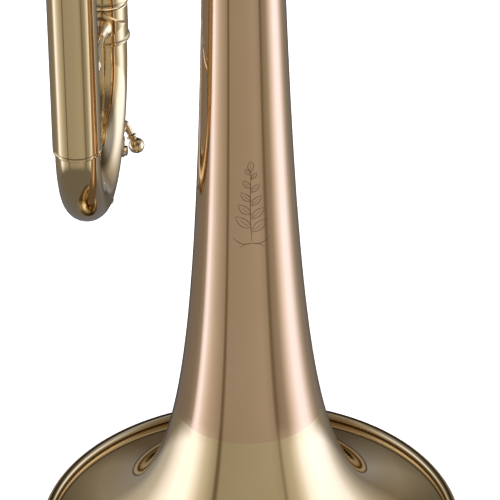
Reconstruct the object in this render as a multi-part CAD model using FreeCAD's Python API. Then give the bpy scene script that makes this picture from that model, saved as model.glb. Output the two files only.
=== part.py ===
import FreeCAD, Part
import math
import os

# A B-flat trumpet standing on its bell. Millimetres.
# The bell's axis is the Z axis and its rim rests on z = 0. The finger buttons face -Y, and the
# leadpipe with the main tuning slide is on the -X side. Playing forward is -Z.
V = FreeCAD.Vector
ORIGIN = V(0, 0, 0)
UP = V(0, 0, 1)
DOWN = V(0, 0, -1)
BUTTON_SIDE = V(0, -1, 0)
LEADPIPE_SIDE = V(-1, 0, 0)

# Driving dimensions. The two sheet metals of the bell meet at SEAM_Z, and the bell's bow
# starts a soldering gap past the end of its straight part.
BELL_RADIUS = 61.1
SHEET = 0.5
SEAM_Z = 45.8
BELL_STRAIGHT_END = 385.0
BELL_BOW_Z = BELL_STRAIGHT_END + 0.05
BOW_OUTER = 6.6
BORE = 5.83
SLIDE_OUTER = 6.25
SLEEVE_BORE = 6.30
SLEEVE_OUTER = 6.70
CROOK_OUTER = 6.15
STROKE = 16.5

LEADPIPE_X = -46.0
RECEIVER_END = 483.0
MOUTHPIECE_END = 545.0
VALVE_X = -25.0
VALVE_Z = {3: 247.0, 2: 275.5, 1: 304.0}
CASING_OUTER = 9.5
CASING_BORE = 8.5
PISTON_RADIUS = 8.46
LOW_PORT = 58.0
MID_PORT = 44.0

MAIN_LOWER = V(-39.6, LOW_PORT, 0)
MAIN_UPPER = V(LEADPIPE_X, 0, 0)
MAIN_BOW_Z = 130.4

FIRST_SLIDE = {"x": -31.0, "low": 44.0, "high": 18.0, "sleeve_end": 350.0, "bow": 366.0}
SECOND_SLIDE = {"low": 51.0, "high": 26.5, "sleeve_end": -52.0, "bow": -59.5}
THIRD_SLIDE = {"x": -19.0, "low": 51.0, "high": 25.0, "sleeve_end": 203.0, "bow": 182.0}


# ---------------------------------------------------------------- general shapes
def at(point, z):
    return V(point.x, point.y, z)


def rod(start, end, radius):
    way = end - start
    return Part.makeCylinder(radius, way.Length, start, way)


def pipe(start, end, outer, bore):
    return rod(start, end, outer).cut(rod(start, end, bore))


def carry(shape, base, direction):
    """Moves a shape built on the origin along +Z to the base, with its Z along the direction."""
    placed = shape.copy()
    move = FreeCAD.Placement(base, FreeCAD.Rotation(UP, direction))
    placed.Placement = move.multiply(shape.Placement)
    return placed


def turned(profile, base=ORIGIN, direction=UP):
    """A closed outline of (radius, height) points, turned about its own axis."""
    points = [V(radius, 0, height) for radius, height in profile]
    wire = Part.makePolygon(points + points[:1])
    solid = Part.Face(wire).revolve(ORIGIN, UP, 360)
    return carry(solid, base, direction)


def disc_face(centre, normal, radius):
    return Part.Face(Part.Wire(Part.makeCircle(radius, centre, normal)))


def bent_pipe(start, direction, centre, angle, outer, bore):
    """A tube from start that turns by the angle about the centre."""
    axis = (start - centre).cross(direction)
    solid = disc_face(start, direction, outer).revolve(centre, axis, angle)
    hollow = disc_face(start, direction, bore).revolve(centre, axis, angle)
    return solid.cut(hollow)


def half_bow(start, end, direction, outer, bore):
    """A half-circle tube from start to end that bulges out along the direction."""
    return bent_pipe(start, direction, (start + end) * 0.5, 180, outer, bore)


def bent_rod(points, radius):
    """A round rod through three points on one arc."""
    arc = Part.Arc(*points)
    path = Part.Wire(arc.toShape())
    start_tangent = arc.tangent(arc.FirstParameter)[0]
    section = Part.Wire(Part.makeCircle(radius, points[0], start_tangent))
    return path.makePipeShell([section], True, False)


def fused(shapes):
    whole = shapes[0]
    if len(shapes) > 1:
        whole = whole.fuse(shapes[1:])
    return whole.removeSplitter()


def toothed_ring(outer, bore, height, teeth, depth=0.35):
    points = []
    for step in range(2 * teeth):
        radius = outer if step % 2 == 0 else outer - depth
        angle = math.pi * step / teeth
        points.append(V(radius * math.cos(angle), radius * math.sin(angle), 0))
    disc = Part.Face(Part.makePolygon(points + points[:1])).extrude(V(0, 0, height))
    return disc.cut(Part.makeCylinder(bore, height))


def coil(radius, wire, turns, height):
    helix = Part.makeHelix(height / turns, height, radius)
    section = Part.Wire(Part.makeCircle(wire, V(radius, 0, 0), V(0, 1, 0)))
    return Part.Wire(helix).makePipeShell([section], True, True)


def spline(points):
    curve = Part.BSplineCurve()
    curve.interpolate(points)
    return curve.toShape()


# ---------------------------------------------------------------- bell
LAND_RADIUS = 58.8
FLARE_SHIFT = 6.57
FLARE_POWER = 0.507
TAPER_START = 180.0
TAPER_DROP = 1.30
BEAD = 1.3
BEAD_HOLLOW = 0.86
BEAD_RADIUS = BELL_RADIUS - BEAD


def bell_inside(z):
    """The inner radius: a horn that opens as a power of the distance, thinned towards the tail."""
    radius = LAND_RADIUS * (FLARE_SHIFT / (z + FLARE_SHIFT)) ** FLARE_POWER
    if z > TAPER_START:
        radius -= TAPER_DROP * ((z - TAPER_START) / (BELL_STRAIGHT_END - TAPER_START)) ** 2
    return radius


def bell_point(z, thickness):
    """A point of the bell's wall, offset square to its inner surface."""
    step = 0.01
    slope = (bell_inside(z + step) - bell_inside(z)) / step
    length = math.hypot(1, slope)
    return V(bell_inside(z) + thickness / length, 0, z - thickness * slope / length)


def bell_wall(heights):
    inside = [bell_point(z, 0) for z in heights]
    outside = [bell_point(z, SHEET) for z in heights]
    return inside, outside


def bell_flare():
    heights = [SEAM_Z * (i / 13.0) ** 2.2 for i in range(14)]
    inside, outside = bell_wall(heights)
    bead_centre = V(BEAD_RADIUS, 0, BEAD)
    foot = math.radians(215)
    meeting = bead_centre + V(BEAD * math.cos(foot), 0, BEAD * math.sin(foot))
    land_edge = V(BEAD_RADIUS, 0, 0)
    outer_side = Part.Arc(land_edge, V(BELL_RADIUS, 0, BEAD), V(BEAD_RADIUS, 0, 2 * BEAD)).toShape()
    inner_side = Part.Arc(V(BEAD_RADIUS, 0, 2 * BEAD), V(BEAD_RADIUS - BEAD, 0, BEAD), meeting).toShape()
    edges = [
        Part.makeLine(inside[0], land_edge),
        outer_side,
        inner_side,
        spline([meeting] + outside[3:]),
        Part.makeLine(outside[-1], inside[-1]),
        spline(inside[::-1]),
    ]
    sheet = Part.Face(Part.Wire(edges)).revolve(ORIGIN, UP, 360)
    return sheet.cut(Part.makeTorus(BEAD_RADIUS, BEAD_HOLLOW, V(0, 0, BEAD)))


def bell_rim_wire():
    return Part.makeTorus(BEAD_RADIUS, BEAD_HOLLOW - 0.04, V(0, 0, BEAD))


def bell_stem():
    reach = BELL_STRAIGHT_END - SEAM_Z
    heights = [SEAM_Z + reach * (i / 13.0) ** 1.3 for i in range(14)]
    inside, outside = bell_wall(heights)
    edges = [
        spline(inside),
        Part.makeLine(inside[-1], outside[-1]),
        spline(outside[::-1]),
        Part.makeLine(outside[0], inside[0]),
    ]
    return Part.Face(Part.Wire(edges)).revolve(ORIGIN, UP, 360)


TAIL_JOINT_Z = 366.0


def bell_bow():
    start = V(0, 0, BELL_BOW_Z)
    end = V(VALVE_X, LOW_PORT, BELL_BOW_Z)
    bow = half_bow(start, end, UP, BOW_OUTER, BOW_OUTER - SHEET)
    leg = pipe(at(end, TAIL_JOINT_Z), end, BOW_OUTER, BOW_OUTER - SHEET)
    return bow.fuse(leg)


def bell_tail():
    axis = V(VALVE_X, LOW_PORT, 0)
    tube = pipe(at(axis, VALVE_Z[1]), at(axis, TAIL_JOINT_Z), BORE + SHEET, BORE)
    return fitted_to_valve(tube, 1)


# ---------------------------------------------------------------- valves
CASING_LOW = -84.0
CASING_HIGH = 36.0
BALUSTER_LOW = 2.0
THREAD_OUTER = 9.3
BOTTOM_CAP_HIGH = -76.2
TOP_CAP_LOW = 30.2
TOP_CAP_TOP = 39.5
PISTON_LOW = -66.0
PISTON_HIGH = 33.5
BOX_LOW = 5.0
BOX_HIGH = 32.0
BOX_BORE = 7.4
GUIDE_LOW = 6.0
GUIDE_THICK = 2.0
STEM_RADIUS = 2.4
FELT_LOW = TOP_CAP_TOP + STROKE + 0.4
FELT_THICK = 2.0

SIDEWAYS = 6.0 / CASING_OUTER
FORWARD = math.sqrt(1 - SIDEWAYS ** 2)
ELBOW_TURN = 60.0
ELBOW_WAY = V(-math.sin(math.radians(ELBOW_TURN)), 0, -math.cos(math.radians(ELBOW_TURN)))

# Each valve's ports: which way each one looks, and its depth below the leadpipe's axis.
PORTS = {
    3: {
        "in": (ELBOW_WAY, LOW_PORT),
        "out": (UP, MID_PORT),
        "slide_in": (V(SIDEWAYS, 0, -FORWARD), THIRD_SLIDE["low"]),
        "slide_out": (V(SIDEWAYS, 0, -FORWARD), THIRD_SLIDE["high"]),
    },
    2: {
        "in": (DOWN, MID_PORT),
        "out": (UP, MID_PORT),
        "slide_in": (V(-1, 0, 0), SECOND_SLIDE["low"]),
        "slide_out": (V(-1, 0, 0), SECOND_SLIDE["high"]),
    },
    1: {
        "in": (DOWN, MID_PORT),
        "out": (UP, LOW_PORT),
        "slide_in": (V(-SIDEWAYS, 0, FORWARD), FIRST_SLIDE["high"]),
        "slide_out": (V(-SIDEWAYS, 0, FORWARD), FIRST_SLIDE["low"]),
    },
}


def valve_base(number):
    return V(VALVE_X, 0, VALVE_Z[number])


def valve_turned(profile, number):
    """Turned on the valve's axis, with height counted from the leadpipe towards the buttons."""
    return turned(profile, valve_base(number), BUTTON_SIDE)


def valve_column(number, radius, low=CASING_LOW, high=CASING_HIGH):
    base = valve_base(number)
    return rod(base + BUTTON_SIDE * low, base + BUTTON_SIDE * high, radius)


def fitted_to_valve(shape, number):
    """Cuts a tube's end to the round wall of the valve casing it is soldered to."""
    return shape.cut(valve_column(number, CASING_OUTER))


def port_hole(number, name, radius):
    way, depth = PORTS[number][name]
    centre = valve_base(number) + V(0, depth, 0)
    return rod(centre + way * 4.5, centre + way * 12.0, radius)


def valve_casing(number):
    profile = [
        (CASING_BORE, CASING_LOW),
        (THREAD_OUTER, CASING_LOW),
        (THREAD_OUTER, BOTTOM_CAP_HIGH + 0.2),
        (CASING_OUTER, BOTTOM_CAP_HIGH + 0.5),
        (CASING_OUTER, BALUSTER_LOW),
        (CASING_BORE, BALUSTER_LOW),
    ]
    casing = valve_turned(profile, number)
    holes = [port_hole(number, name, BORE - 0.2) for name in PORTS[number]]
    return casing.cut(holes)


def valve_balusters():
    profile = [
        (CASING_BORE, BALUSTER_LOW),
        (CASING_OUTER, BALUSTER_LOW),
        (10.1, BALUSTER_LOW + 0.4),
        (10.6, BALUSTER_LOW + 1.4),
        (10.1, BALUSTER_LOW + 2.4),
        (9.9, BALUSTER_LOW + 3.2),
        (10.3, BALUSTER_LOW + 5.0),
        (10.3, TOP_CAP_LOW - 5.2),
        (9.9, TOP_CAP_LOW - 3.4),
        (10.3, TOP_CAP_LOW - 2.4),
        (10.3, TOP_CAP_LOW - 0.8),
        (THREAD_OUTER, TOP_CAP_LOW - 0.4),
        (THREAD_OUTER, CASING_HIGH),
        (CASING_BORE, CASING_HIGH),
    ]
    notch = Part.makeBox(17.8, 3.2, GUIDE_THICK + 0.2, V(-8.9, -1.6, GUIDE_LOW - 0.1))
    shapes = []
    for number in VALVE_Z:
        notches = carry(notch, valve_base(number), BUTTON_SIDE)
        shapes.append(valve_turned(profile, number).cut(notches))
    return Part.makeCompound(shapes)


def top_caps():
    body = [
        (THREAD_OUTER + 0.05, TOP_CAP_LOW),
        (10.7, TOP_CAP_LOW),
        (10.7, TOP_CAP_LOW + 4.6),
        (10.9, TOP_CAP_LOW + 5.2),
        (10.6, TOP_CAP_LOW + 6.2),
        (9.6, TOP_CAP_LOW + 6.9),
        (9.4, TOP_CAP_LOW + 7.6),
        (5.4, TOP_CAP_TOP - 0.5),
        (4.6, TOP_CAP_TOP),
        (3.0, TOP_CAP_TOP),
        (3.0, CASING_HIGH + 0.2),
        (THREAD_OUTER + 0.05, CASING_HIGH + 0.2),
    ]
    cap = turned(body)
    knurl = toothed_ring(11.2, 10.5, 3.4, 48)
    knurl.translate(V(0, 0, TOP_CAP_LOW + 0.7))
    whole = cap.fuse(knurl)
    return Part.makeCompound([carry(whole, valve_base(n), BUTTON_SIDE) for n in VALVE_Z])


def bottom_caps():
    low = CASING_LOW
    body = [
        (THREAD_OUTER + 0.05, BOTTOM_CAP_HIGH),
        (10.5, BOTTOM_CAP_HIGH),
        (10.5, low + 2.2),
        (10.7, low + 1.6),
        (10.4, low - 0.6),
        (8.6, low - 2.0),
        (4.6, low - 2.6),
        (3.8, low - 4.4),
        (2.6, low - 5.0),
        (1.5, low - 5.0),
        (1.5, low - 0.2),
        (THREAD_OUTER + 0.05, low - 0.2),
    ]
    cap = turned(body)
    knurl = toothed_ring(11.0, 10.3, 4.2, 48)
    knurl.translate(V(0, 0, low + 2.9))
    whole = cap.fuse(knurl)
    return Part.makeCompound([carry(whole, valve_base(n), BUTTON_SIDE) for n in VALVE_Z])


def valve_guides():
    disc = turned([(3.0, 0), (7.2, 0), (7.2, GUIDE_THICK), (3.0, GUIDE_THICK)])
    keys = Part.makeBox(17.6, 3.0, GUIDE_THICK, V(-8.8, -1.5, 0))
    keys = keys.cut(Part.makeCylinder(3.0, GUIDE_THICK))
    guide = disc.fuse(keys)
    guide.translate(V(0, 0, GUIDE_LOW))
    return Part.makeCompound([carry(guide, valve_base(n), BUTTON_SIDE) for n in VALVE_Z])


def passage(number, first, second, lift, radius):
    """One windway through a piston, from one port to another, that much above the ports."""
    way_a, depth_a = PORTS[number][first]
    way_b, depth_b = PORTS[number][second]
    base = valve_base(number)
    end_a = base + V(0, depth_a - lift, 0) + way_a * 12
    end_b = base + V(0, depth_b - lift, 0) + way_b * 12
    middle = base + V(0, (depth_a + depth_b) / 2 - lift, 0)
    knee = Part.makeSphere(radius, middle)
    return rod(middle, end_a, radius).fuse([rod(middle, end_b, radius), knee])


def piston(number):
    barrel = [
        (1.5, PISTON_LOW),
        (PISTON_RADIUS, PISTON_LOW),
        (PISTON_RADIUS, PISTON_HIGH),
        (STEM_RADIUS + 0.02, PISTON_HIGH),
        (STEM_RADIUS + 0.02, BOX_HIGH),
        (BOX_BORE, BOX_HIGH),
        (BOX_BORE, BOX_LOW),
        (1.5, BOX_LOW),
    ]
    body = valve_turned(barrel, number)
    slot = Part.makeBox(20, 3.3, STROKE + 5.0, V(-10, -1.65, BOX_LOW))
    cuts = [carry(slot, valve_base(number), BUTTON_SIDE)]
    windways = (("in", "out", 0), ("in", "slide_in", STROKE), ("slide_out", "out", STROKE))
    for first, second, lift in windways:
        cuts.append(passage(number, first, second, lift, BORE - 0.25))
    return body.cut(cuts)


def valve_stem(number):
    profile = [
        (0, BOX_HIGH - 2.5),
        (3.6, BOX_HIGH - 2.5),
        (3.6, BOX_HIGH),
        (STEM_RADIUS, BOX_HIGH),
        (STEM_RADIUS, FELT_LOW + FELT_THICK),
        (0, FELT_LOW + FELT_THICK),
    ]
    return valve_turned(profile, number)


def button_felt(number):
    low = FELT_LOW
    high = FELT_LOW + FELT_THICK
    return valve_turned([(STEM_RADIUS, low), (5.4, low), (5.4, high), (STEM_RADIUS, high)], number)


def finger_button(number):
    low = FELT_LOW + FELT_THICK
    profile = [
        (0, low),
        (4.4, low),
        (5.0, low + 0.5),
        (7.3, low + 2.0),
        (7.8, low + 2.8),
        (7.6, low + 3.5),
        (7.0, low + 3.9),
        (6.4, low + 3.5),
        (6.4, low + 2.5),
        (0, low + 2.5),
    ]
    return valve_turned(profile, number)


def button_pearl(number):
    low = FELT_LOW + FELT_THICK + 2.5
    profile = [
        (0, low),
        (6.38, low),
        (6.38, low + 1.0),
        (5.6, low + 1.15),
        (3.4, low + 0.8),
        (0, low + 0.65),
    ]
    return valve_turned(profile, number)


def valve_spring(number):
    low = GUIDE_LOW + GUIDE_THICK + 0.5
    spring = coil(5.4, 0.38, 8, BOX_HIGH - low - 0.6)
    spring.translate(V(0, 0, low))
    return carry(spring, valve_base(number), BUTTON_SIDE)


def valve_knuckles():
    tubes = []
    for near, far in ((3, 2), (2, 1)):
        start = valve_base(near) + V(0, MID_PORT, 0)
        end = valve_base(far) + V(0, MID_PORT, 0)
        tube = pipe(start, end, BORE + 0.6, BORE)
        tubes.append(fitted_to_valve(fitted_to_valve(tube, near), far))
    return Part.makeCompound(tubes)


# ---------------------------------------------------------------- leadpipe and mouthpiece
LEADPIPE_END = 134.5
LEADPIPE_TOP = 456.0
LEADPIPE_TAPER_Z = 236.0
LEADPIPE_THIN = 5.45
STOP_RING_Z = 206.0
SHANK_END = 458.0
SHANK_TAPER = 0.025


def leadpipe_radius(z):
    if z < LEADPIPE_TAPER_Z:
        return SLIDE_OUTER
    share = (z - LEADPIPE_TAPER_Z) / (LEADPIPE_TOP - LEADPIPE_TAPER_Z)
    return SLIDE_OUTER + (LEADPIPE_THIN - SLIDE_OUTER) * share


def leadpipe():
    profile = [
        (BORE, LEADPIPE_END),
        (SLIDE_OUTER - 0.15, LEADPIPE_END),
        (SLIDE_OUTER, LEADPIPE_END + 0.5),
        (SLIDE_OUTER, LEADPIPE_TAPER_Z),
        (LEADPIPE_THIN, LEADPIPE_TOP),
        (LEADPIPE_THIN - 1.0, LEADPIPE_TOP),
        (5.6, 260.0),
        (BORE, LEADPIPE_TAPER_Z),
    ]
    return turned(profile, V(LEADPIPE_X, 0, 0))


def shank_radius(z):
    return 4.22 + SHANK_TAPER * (z - SHANK_END)


def mouthpiece_receiver():
    gap = 0.05
    low = 432.0
    profile = [
        (leadpipe_radius(low) + 0.02, low),
        (6.0, low),
        (6.4, 433.0),
        (6.05, 434.0),
        (6.15, 436.0),
        (6.55, 466.0),
        (7.0, 467.2),
        (6.6, 468.4),
        (6.7, 476.0),
        (7.5, 477.4),
        (7.7, 480.0),
        (7.5, 482.4),
        (7.0, RECEIVER_END),
        (shank_radius(RECEIVER_END) + gap, RECEIVER_END),
        (shank_radius(SHANK_END - 2) + gap, SHANK_END - 2),
        (leadpipe_radius(LEADPIPE_TOP) + 0.02, LEADPIPE_TOP),
    ]
    return turned(profile, V(LEADPIPE_X, 0, 0))


def mouthpiece():
    top = MOUTHPIECE_END
    outside = [
        (shank_radius(SHANK_END), SHANK_END),
        (shank_radius(487), 487),
        (shank_radius(491) + 0.2, 491),
        (5.1, 500),
        (5.6, 506),
        (6.6, 509.5),
        (6.9, 511.0),
        (6.5, 512.5),
        (7.6, 516.5),
        (10.6, 523.5),
        (12.2, 529.5),
        (12.5, top - 8.5),
        (11.8, top - 6.8),
        (13.0, top - 4.6),
        (13.5, top - 2.6),
        (13.2, top - 1.0),
        (12.2, top - 0.2),
    ]
    inside = [
        (11.0, top),
        (9.4, top - 0.4),
        (8.3, top - 1.5),
        (8.0, top - 4.5),
        (7.2, top - 8.5),
        (5.2, top - 12.2),
        (2.6, top - 14.6),
        (1.85, top - 18.0),
        (1.85, top - 26.0),
        (3.4, SHANK_END),
    ]
    return turned(outside + inside, V(LEADPIPE_X, 0, 0))


# ---------------------------------------------------------------- main tuning slide
RING_GROOVE = 0.3
OUTER_LEG_TOP = 205.4
OUTER_LEG_RADIUS = 6.75
FERRULE_LOW = 132.6
FERRULE_HIGH = 144.2
SLEEVE_LOW = 145.0
ELBOW_RADIUS = 14.0
ELBOW_Z = 230.5
INNER_LEG_TOP = 212.0
BRACE_Z = 139.5


def main_slide_outer_leg():
    low = MAIN_BOW_Z
    radius = OUTER_LEG_RADIUS
    profile = [
        (CROOK_OUTER + 0.02, low),
        (radius - 0.1, low),
        (radius, low + 0.2),
        (radius, low + 0.7),
        (radius - 0.1, low + 0.9),
        (radius - RING_GROOVE, low + 1.0),
        (radius - RING_GROOVE, low + 1.4),
        (radius, low + 1.5),
        (radius, OUTER_LEG_TOP - 4.2),
        (radius + 0.25, OUTER_LEG_TOP - 4.0),
        (radius + 0.45, OUTER_LEG_TOP - 2.1),
        (radius + 0.25, OUTER_LEG_TOP - 0.2),
        (radius, OUTER_LEG_TOP),
        (SLEEVE_BORE, OUTER_LEG_TOP),
        (SLEEVE_BORE, low + 3.2),
        (CROOK_OUTER + 0.02, low + 3.2),
    ]
    return turned(profile, MAIN_UPPER)


def main_slide_crook():
    bore = CROOK_OUTER - 0.4
    start = at(MAIN_UPPER, MAIN_BOW_Z)
    end = at(MAIN_LOWER, MAIN_BOW_Z)
    bow = half_bow(start, end, DOWN, CROOK_OUTER, bore)
    upper = pipe(start, at(MAIN_UPPER, MAIN_BOW_Z + 3.2), CROOK_OUTER, bore)
    lower = pipe(end, at(MAIN_LOWER, FERRULE_LOW + 5.0), CROOK_OUTER, bore)
    drain_way = key_way(CORK_ANGLE)
    drain_from = bow_point(CORK_ANGLE, 0)
    drain = rod(drain_from, drain_from + drain_way * 8.0, 1.2)
    return bow.fuse([upper, lower]).cut(drain)


def main_slide_ferrule():
    low, high = FERRULE_LOW, FERRULE_HIGH
    profile = [
        (CROOK_OUTER + 0.02, low),
        (6.75, low),
        (7.05, low + 0.3),
        (7.05, low + 0.9),
        (6.75, low + 1.2),
        (6.60, low + 1.4),
        (6.60, high - 0.3),
        (6.45, high),
        (SLIDE_OUTER + 0.02, high),
        (SLIDE_OUTER + 0.02, low + 5.2),
        (CROOK_OUTER + 0.02, low + 5.2),
    ]
    return turned(profile, MAIN_LOWER)


def main_slide_inner_leg():
    return pipe(at(MAIN_LOWER, FERRULE_LOW + 5.2), at(MAIN_LOWER, INNER_LEG_TOP), SLIDE_OUTER, BORE)


def main_slide_brace():
    """A turned post between the two legs, on a lobed foot at each end."""
    start = at(MAIN_UPPER, BRACE_Z)
    end = at(MAIN_LOWER, BRACE_Z)
    way = (end - start).normalize()
    length = (end - start).Length
    near, far = OUTER_LEG_RADIUS, length - 6.6
    middle = (near + far) / 2
    profile = [
        (0, near - 1.0),
        (3.0, near - 1.0),
        (3.0, near + 0.6),
        (2.1, near + 1.6),
        (1.6, near + 4.0),
        (1.9, middle - 2.4),
        (2.7, middle - 1.2),
        (3.0, middle),
        (2.7, middle + 1.2),
        (1.9, middle + 2.4),
        (1.6, far - 6.0),
        (2.3, far - 3.4),
        (3.1, far - 2.0),
        (3.1, far + 1.0),
        (0, far + 1.0),
    ]
    post = turned(profile, start, way)
    feet = [brace_foot(start, way, near), brace_foot(end, way * -1, length - far)]
    legs = [brace_leg(MAIN_UPPER, OUTER_LEG_RADIUS), brace_leg(MAIN_LOWER, 6.6)]
    return fused([post] + feet).cut(legs)


def brace_leg(leg, radius):
    return rod(at(leg, BRACE_Z - 20), at(leg, BRACE_Z + 20), radius)


def brace_foot(centre, way, radius):
    """A lozenge plate, 0.9 mm thick, bent round a tube on the side that the way points to."""
    side = way.cross(UP).normalize()
    half_width, half_height = 6.4, 5.2
    corners = [
        centre + side * half_width,
        centre + UP * half_height,
        centre - side * half_width,
        centre - UP * half_height,
    ]
    outline = Part.makePolygon(corners + corners[:1])
    column = Part.Face(outline).extrude(way * (radius + 2))
    shell = pipe(centre - UP * 8, centre + UP * 8, radius + 0.9, radius)
    return column.common(shell)


def main_slide_sleeve():
    low = SLEEVE_LOW
    profile = [
        (SLEEVE_BORE, low),
        (6.9, low),
        (7.15, low + 0.4),
        (7.15, low + 1.0),
        (6.9, low + 1.4),
        (SLEEVE_OUTER, low + 1.8),
        (SLEEVE_OUTER, ELBOW_Z),
        (BORE, ELBOW_Z),
        (BORE, INNER_LEG_TOP + 2.0),
        (SLEEVE_BORE, INNER_LEG_TOP + 2.0),
    ]
    return turned(profile, MAIN_LOWER)


def third_valve_elbow():
    start = at(MAIN_LOWER, ELBOW_Z)
    centre = start + V(ELBOW_RADIUS, 0, 0)
    bend = bent_pipe(start, UP, centre, ELBOW_TURN, BORE + 0.6, BORE)
    return fitted_to_valve(bend, 3)


# ---------------------------------------------------------------- water key
KEY_LEAN = math.radians(4)
BEND_ANGLE = 42.0
BALL_ANGLE = 49.3
HINGE_ANGLE = 55.0
CORK_ANGLE = 80.0
HINGE_HEIGHT = 9.6
BEND_HEIGHT = 12.6
BALL_HEIGHT = 15.5
BALL_RADIUS = 2.35
NIPPLE_TOP = 8.6
HUB_REACH = 3.4
EAR_OUT = 4.7
LEG_WAY = (MAIN_LOWER - MAIN_UPPER).normalize()
SIDE_WAY = DOWN.cross(LEG_WAY).normalize()
BOW_CENTRE = at((MAIN_UPPER + MAIN_LOWER) * 0.5, MAIN_BOW_Z)
BOW_RADIUS = (MAIN_LOWER - MAIN_UPPER).Length / 2


def bow_out(angle):
    turn = math.radians(angle)
    return LEG_WAY * math.cos(turn) + DOWN * math.sin(turn)


def key_way(angle):
    """Square to the crook at that angle round it, outwards with a slight lean towards the bell."""
    return bow_out(angle) * math.cos(KEY_LEAN) + SIDE_WAY * math.sin(KEY_LEAN)


def bow_point(angle, height, aside=0.0):
    """A point beside the crook: its angle round the bow, its distance out and towards the bell."""
    rim = BOW_CENTRE + bow_out(angle) * BOW_RADIUS
    return rim + key_way(angle) * height + SIDE_WAY * aside


def hinge_axis():
    along = (bow_point(BEND_ANGLE, HINGE_HEIGHT) - bow_point(CORK_ANGLE, HINGE_HEIGHT)).normalize()
    return key_way(HINGE_ANGLE).cross(along).normalize()


def water_key():
    hinge = bow_point(HINGE_ANGLE, HINGE_HEIGHT)
    axis = hinge_axis()
    hub = rod(hinge - axis * HUB_REACH, hinge + axis * 1.9, 1.7)
    lifted = hinge + key_way(HINGE_ANGLE) * 1.2
    touch_neck = bow_point((HINGE_ANGLE + BEND_ANGLE) / 2, BEND_HEIGHT - 0.2, 1.6)
    bend = bow_point(BEND_ANGLE, BEND_HEIGHT, 3.8)
    cup = bow_point(CORK_ANGLE, NIPPLE_TOP + 2.9)
    cup_neck = bow_point((HINGE_ANGLE + CORK_ANGLE) / 2, HINGE_HEIGHT + 2.6)
    arms = [bent_rod([lifted, touch_neck, bend], 1.05), bent_rod([lifted, cup_neck, cup], 1.15)]
    ball = bow_point(BALL_ANGLE, BALL_HEIGHT, 6.9)
    neck_length = (ball - bend).Length
    neck_profile = [
        (0, -0.3),
        (1.05, -0.3),
        (0.95, neck_length - 3.6),
        (1.5, neck_length - 3.2),
        (1.5, neck_length - 2.7),
        (1.0, neck_length - 2.3),
        (1.0, neck_length),
        (0, neck_length),
    ]
    touch = [
        Part.makeSphere(1.1, bend),
        turned(neck_profile, bend, ball - bend),
        Part.makeSphere(BALL_RADIUS, ball),
    ]
    cup_base = bow_point(CORK_ANGLE, NIPPLE_TOP + 0.5)
    cup_profile = [(2.9, 0), (3.4, 0), (3.4, 1.6), (2.2, 2.4), (0, 2.8), (0, 1.2), (2.9, 1.2)]
    bowl = turned(cup_profile, cup_base, key_way(CORK_ANGLE))
    bore = rod(hinge - axis * 5.0, hinge + axis * 5.0, 0.8)
    return hub.fuse(arms + touch + [bowl]).cut(bore)


def water_key_cork():
    low = NIPPLE_TOP + 0.12
    base = bow_point(CORK_ANGLE, low)
    thick = NIPPLE_TOP + 0.5 + 1.1 - low
    return Part.makeCylinder(2.85, thick, base, key_way(CORK_ANGLE))


def water_key_spring():
    hinge = bow_point(HINGE_ANGLE, HINGE_HEIGHT)
    axis = hinge_axis()
    spring = coil(1.35, 0.2, 3, 1.2)
    return carry(spring, hinge + axis * 2.2, axis)


def water_key_screw():
    hinge = bow_point(HINGE_ANGLE, HINGE_HEIGHT)
    axis = hinge_axis()
    shaft = rod(hinge - axis * 4.9, hinge + axis * 4.9, 0.75)
    head = rod(hinge + axis * EAR_OUT, hinge + axis * (EAR_OUT + 0.9), 1.5)
    slot = Part.makeBox(4, 0.4, 0.5, V(-2, -0.2, EAR_OUT + 0.5))
    return shaft.fuse(head).cut(carry(slot, hinge, axis))


def water_key_saddle():
    """Two pierced ears on a plate bent over the crook, with the drain nipple beside it."""
    hinge = bow_point(HINGE_ANGLE, HINGE_HEIGHT)
    axis = hinge_axis()
    way = key_way(HINGE_ANGLE)
    along = axis.cross(way)
    ears = []
    for side in (-1, 1):
        middle = hinge + axis * (side * (EAR_OUT - 0.5))
        ear = rod(middle - axis * 0.5, middle + axis * 0.5, 1.9)
        web = Part.makeBox(3.0, 1.0, 5.0, V(-1.5, -0.5, -5.0))
        web.Placement = FreeCAD.Placement(middle, FreeCAD.Rotation(along, axis, way, "ZXY"))
        ears.append(ear.fuse(web))
    start = bow_point(HINGE_ANGLE - 9, 0)
    end = bow_point(HINGE_ANGLE + 9, 0)
    plate = rod(start, end, CROOK_OUTER + 1.0).common(rod(bow_point(HINGE_ANGLE, 0), hinge, 6.0))
    nipple_base = bow_point(CORK_ANGLE, CROOK_OUTER - 0.6)
    nipple = Part.makeCylinder(2.2, NIPPLE_TOP - CROOK_OUTER + 0.6, nipple_base, key_way(CORK_ANGLE))
    nipple = nipple.cut(rod(nipple_base, bow_point(CORK_ANGLE, NIPPLE_TOP + 1), 1.2))
    shape = fused(ears + [plate]).cut(rod(hinge - axis * 6, hinge + axis * 6, 0.77))
    tube = Part.makeTorus(BOW_RADIUS, CROOK_OUTER + 0.02, BOW_CENTRE, SIDE_WAY)
    return Part.makeCompound([shape.cut(tube), nipple.cut(tube)])


# ---------------------------------------------------------------- valve slides
def slide_sleeve(start, end, number):
    way = (end - start).normalize()
    length = (end - start).Length
    profile = [
        (SLEEVE_BORE, 0),
        (SLEEVE_OUTER, 0),
        (SLEEVE_OUTER, length - 2.6),
        (7.0, length - 2.2),
        (7.1, length - 1.3),
        (7.0, length - 0.2),
        (6.8, length),
        (SLEEVE_BORE, length),
    ]
    return fitted_to_valve(turned(profile, start, way), number)


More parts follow.
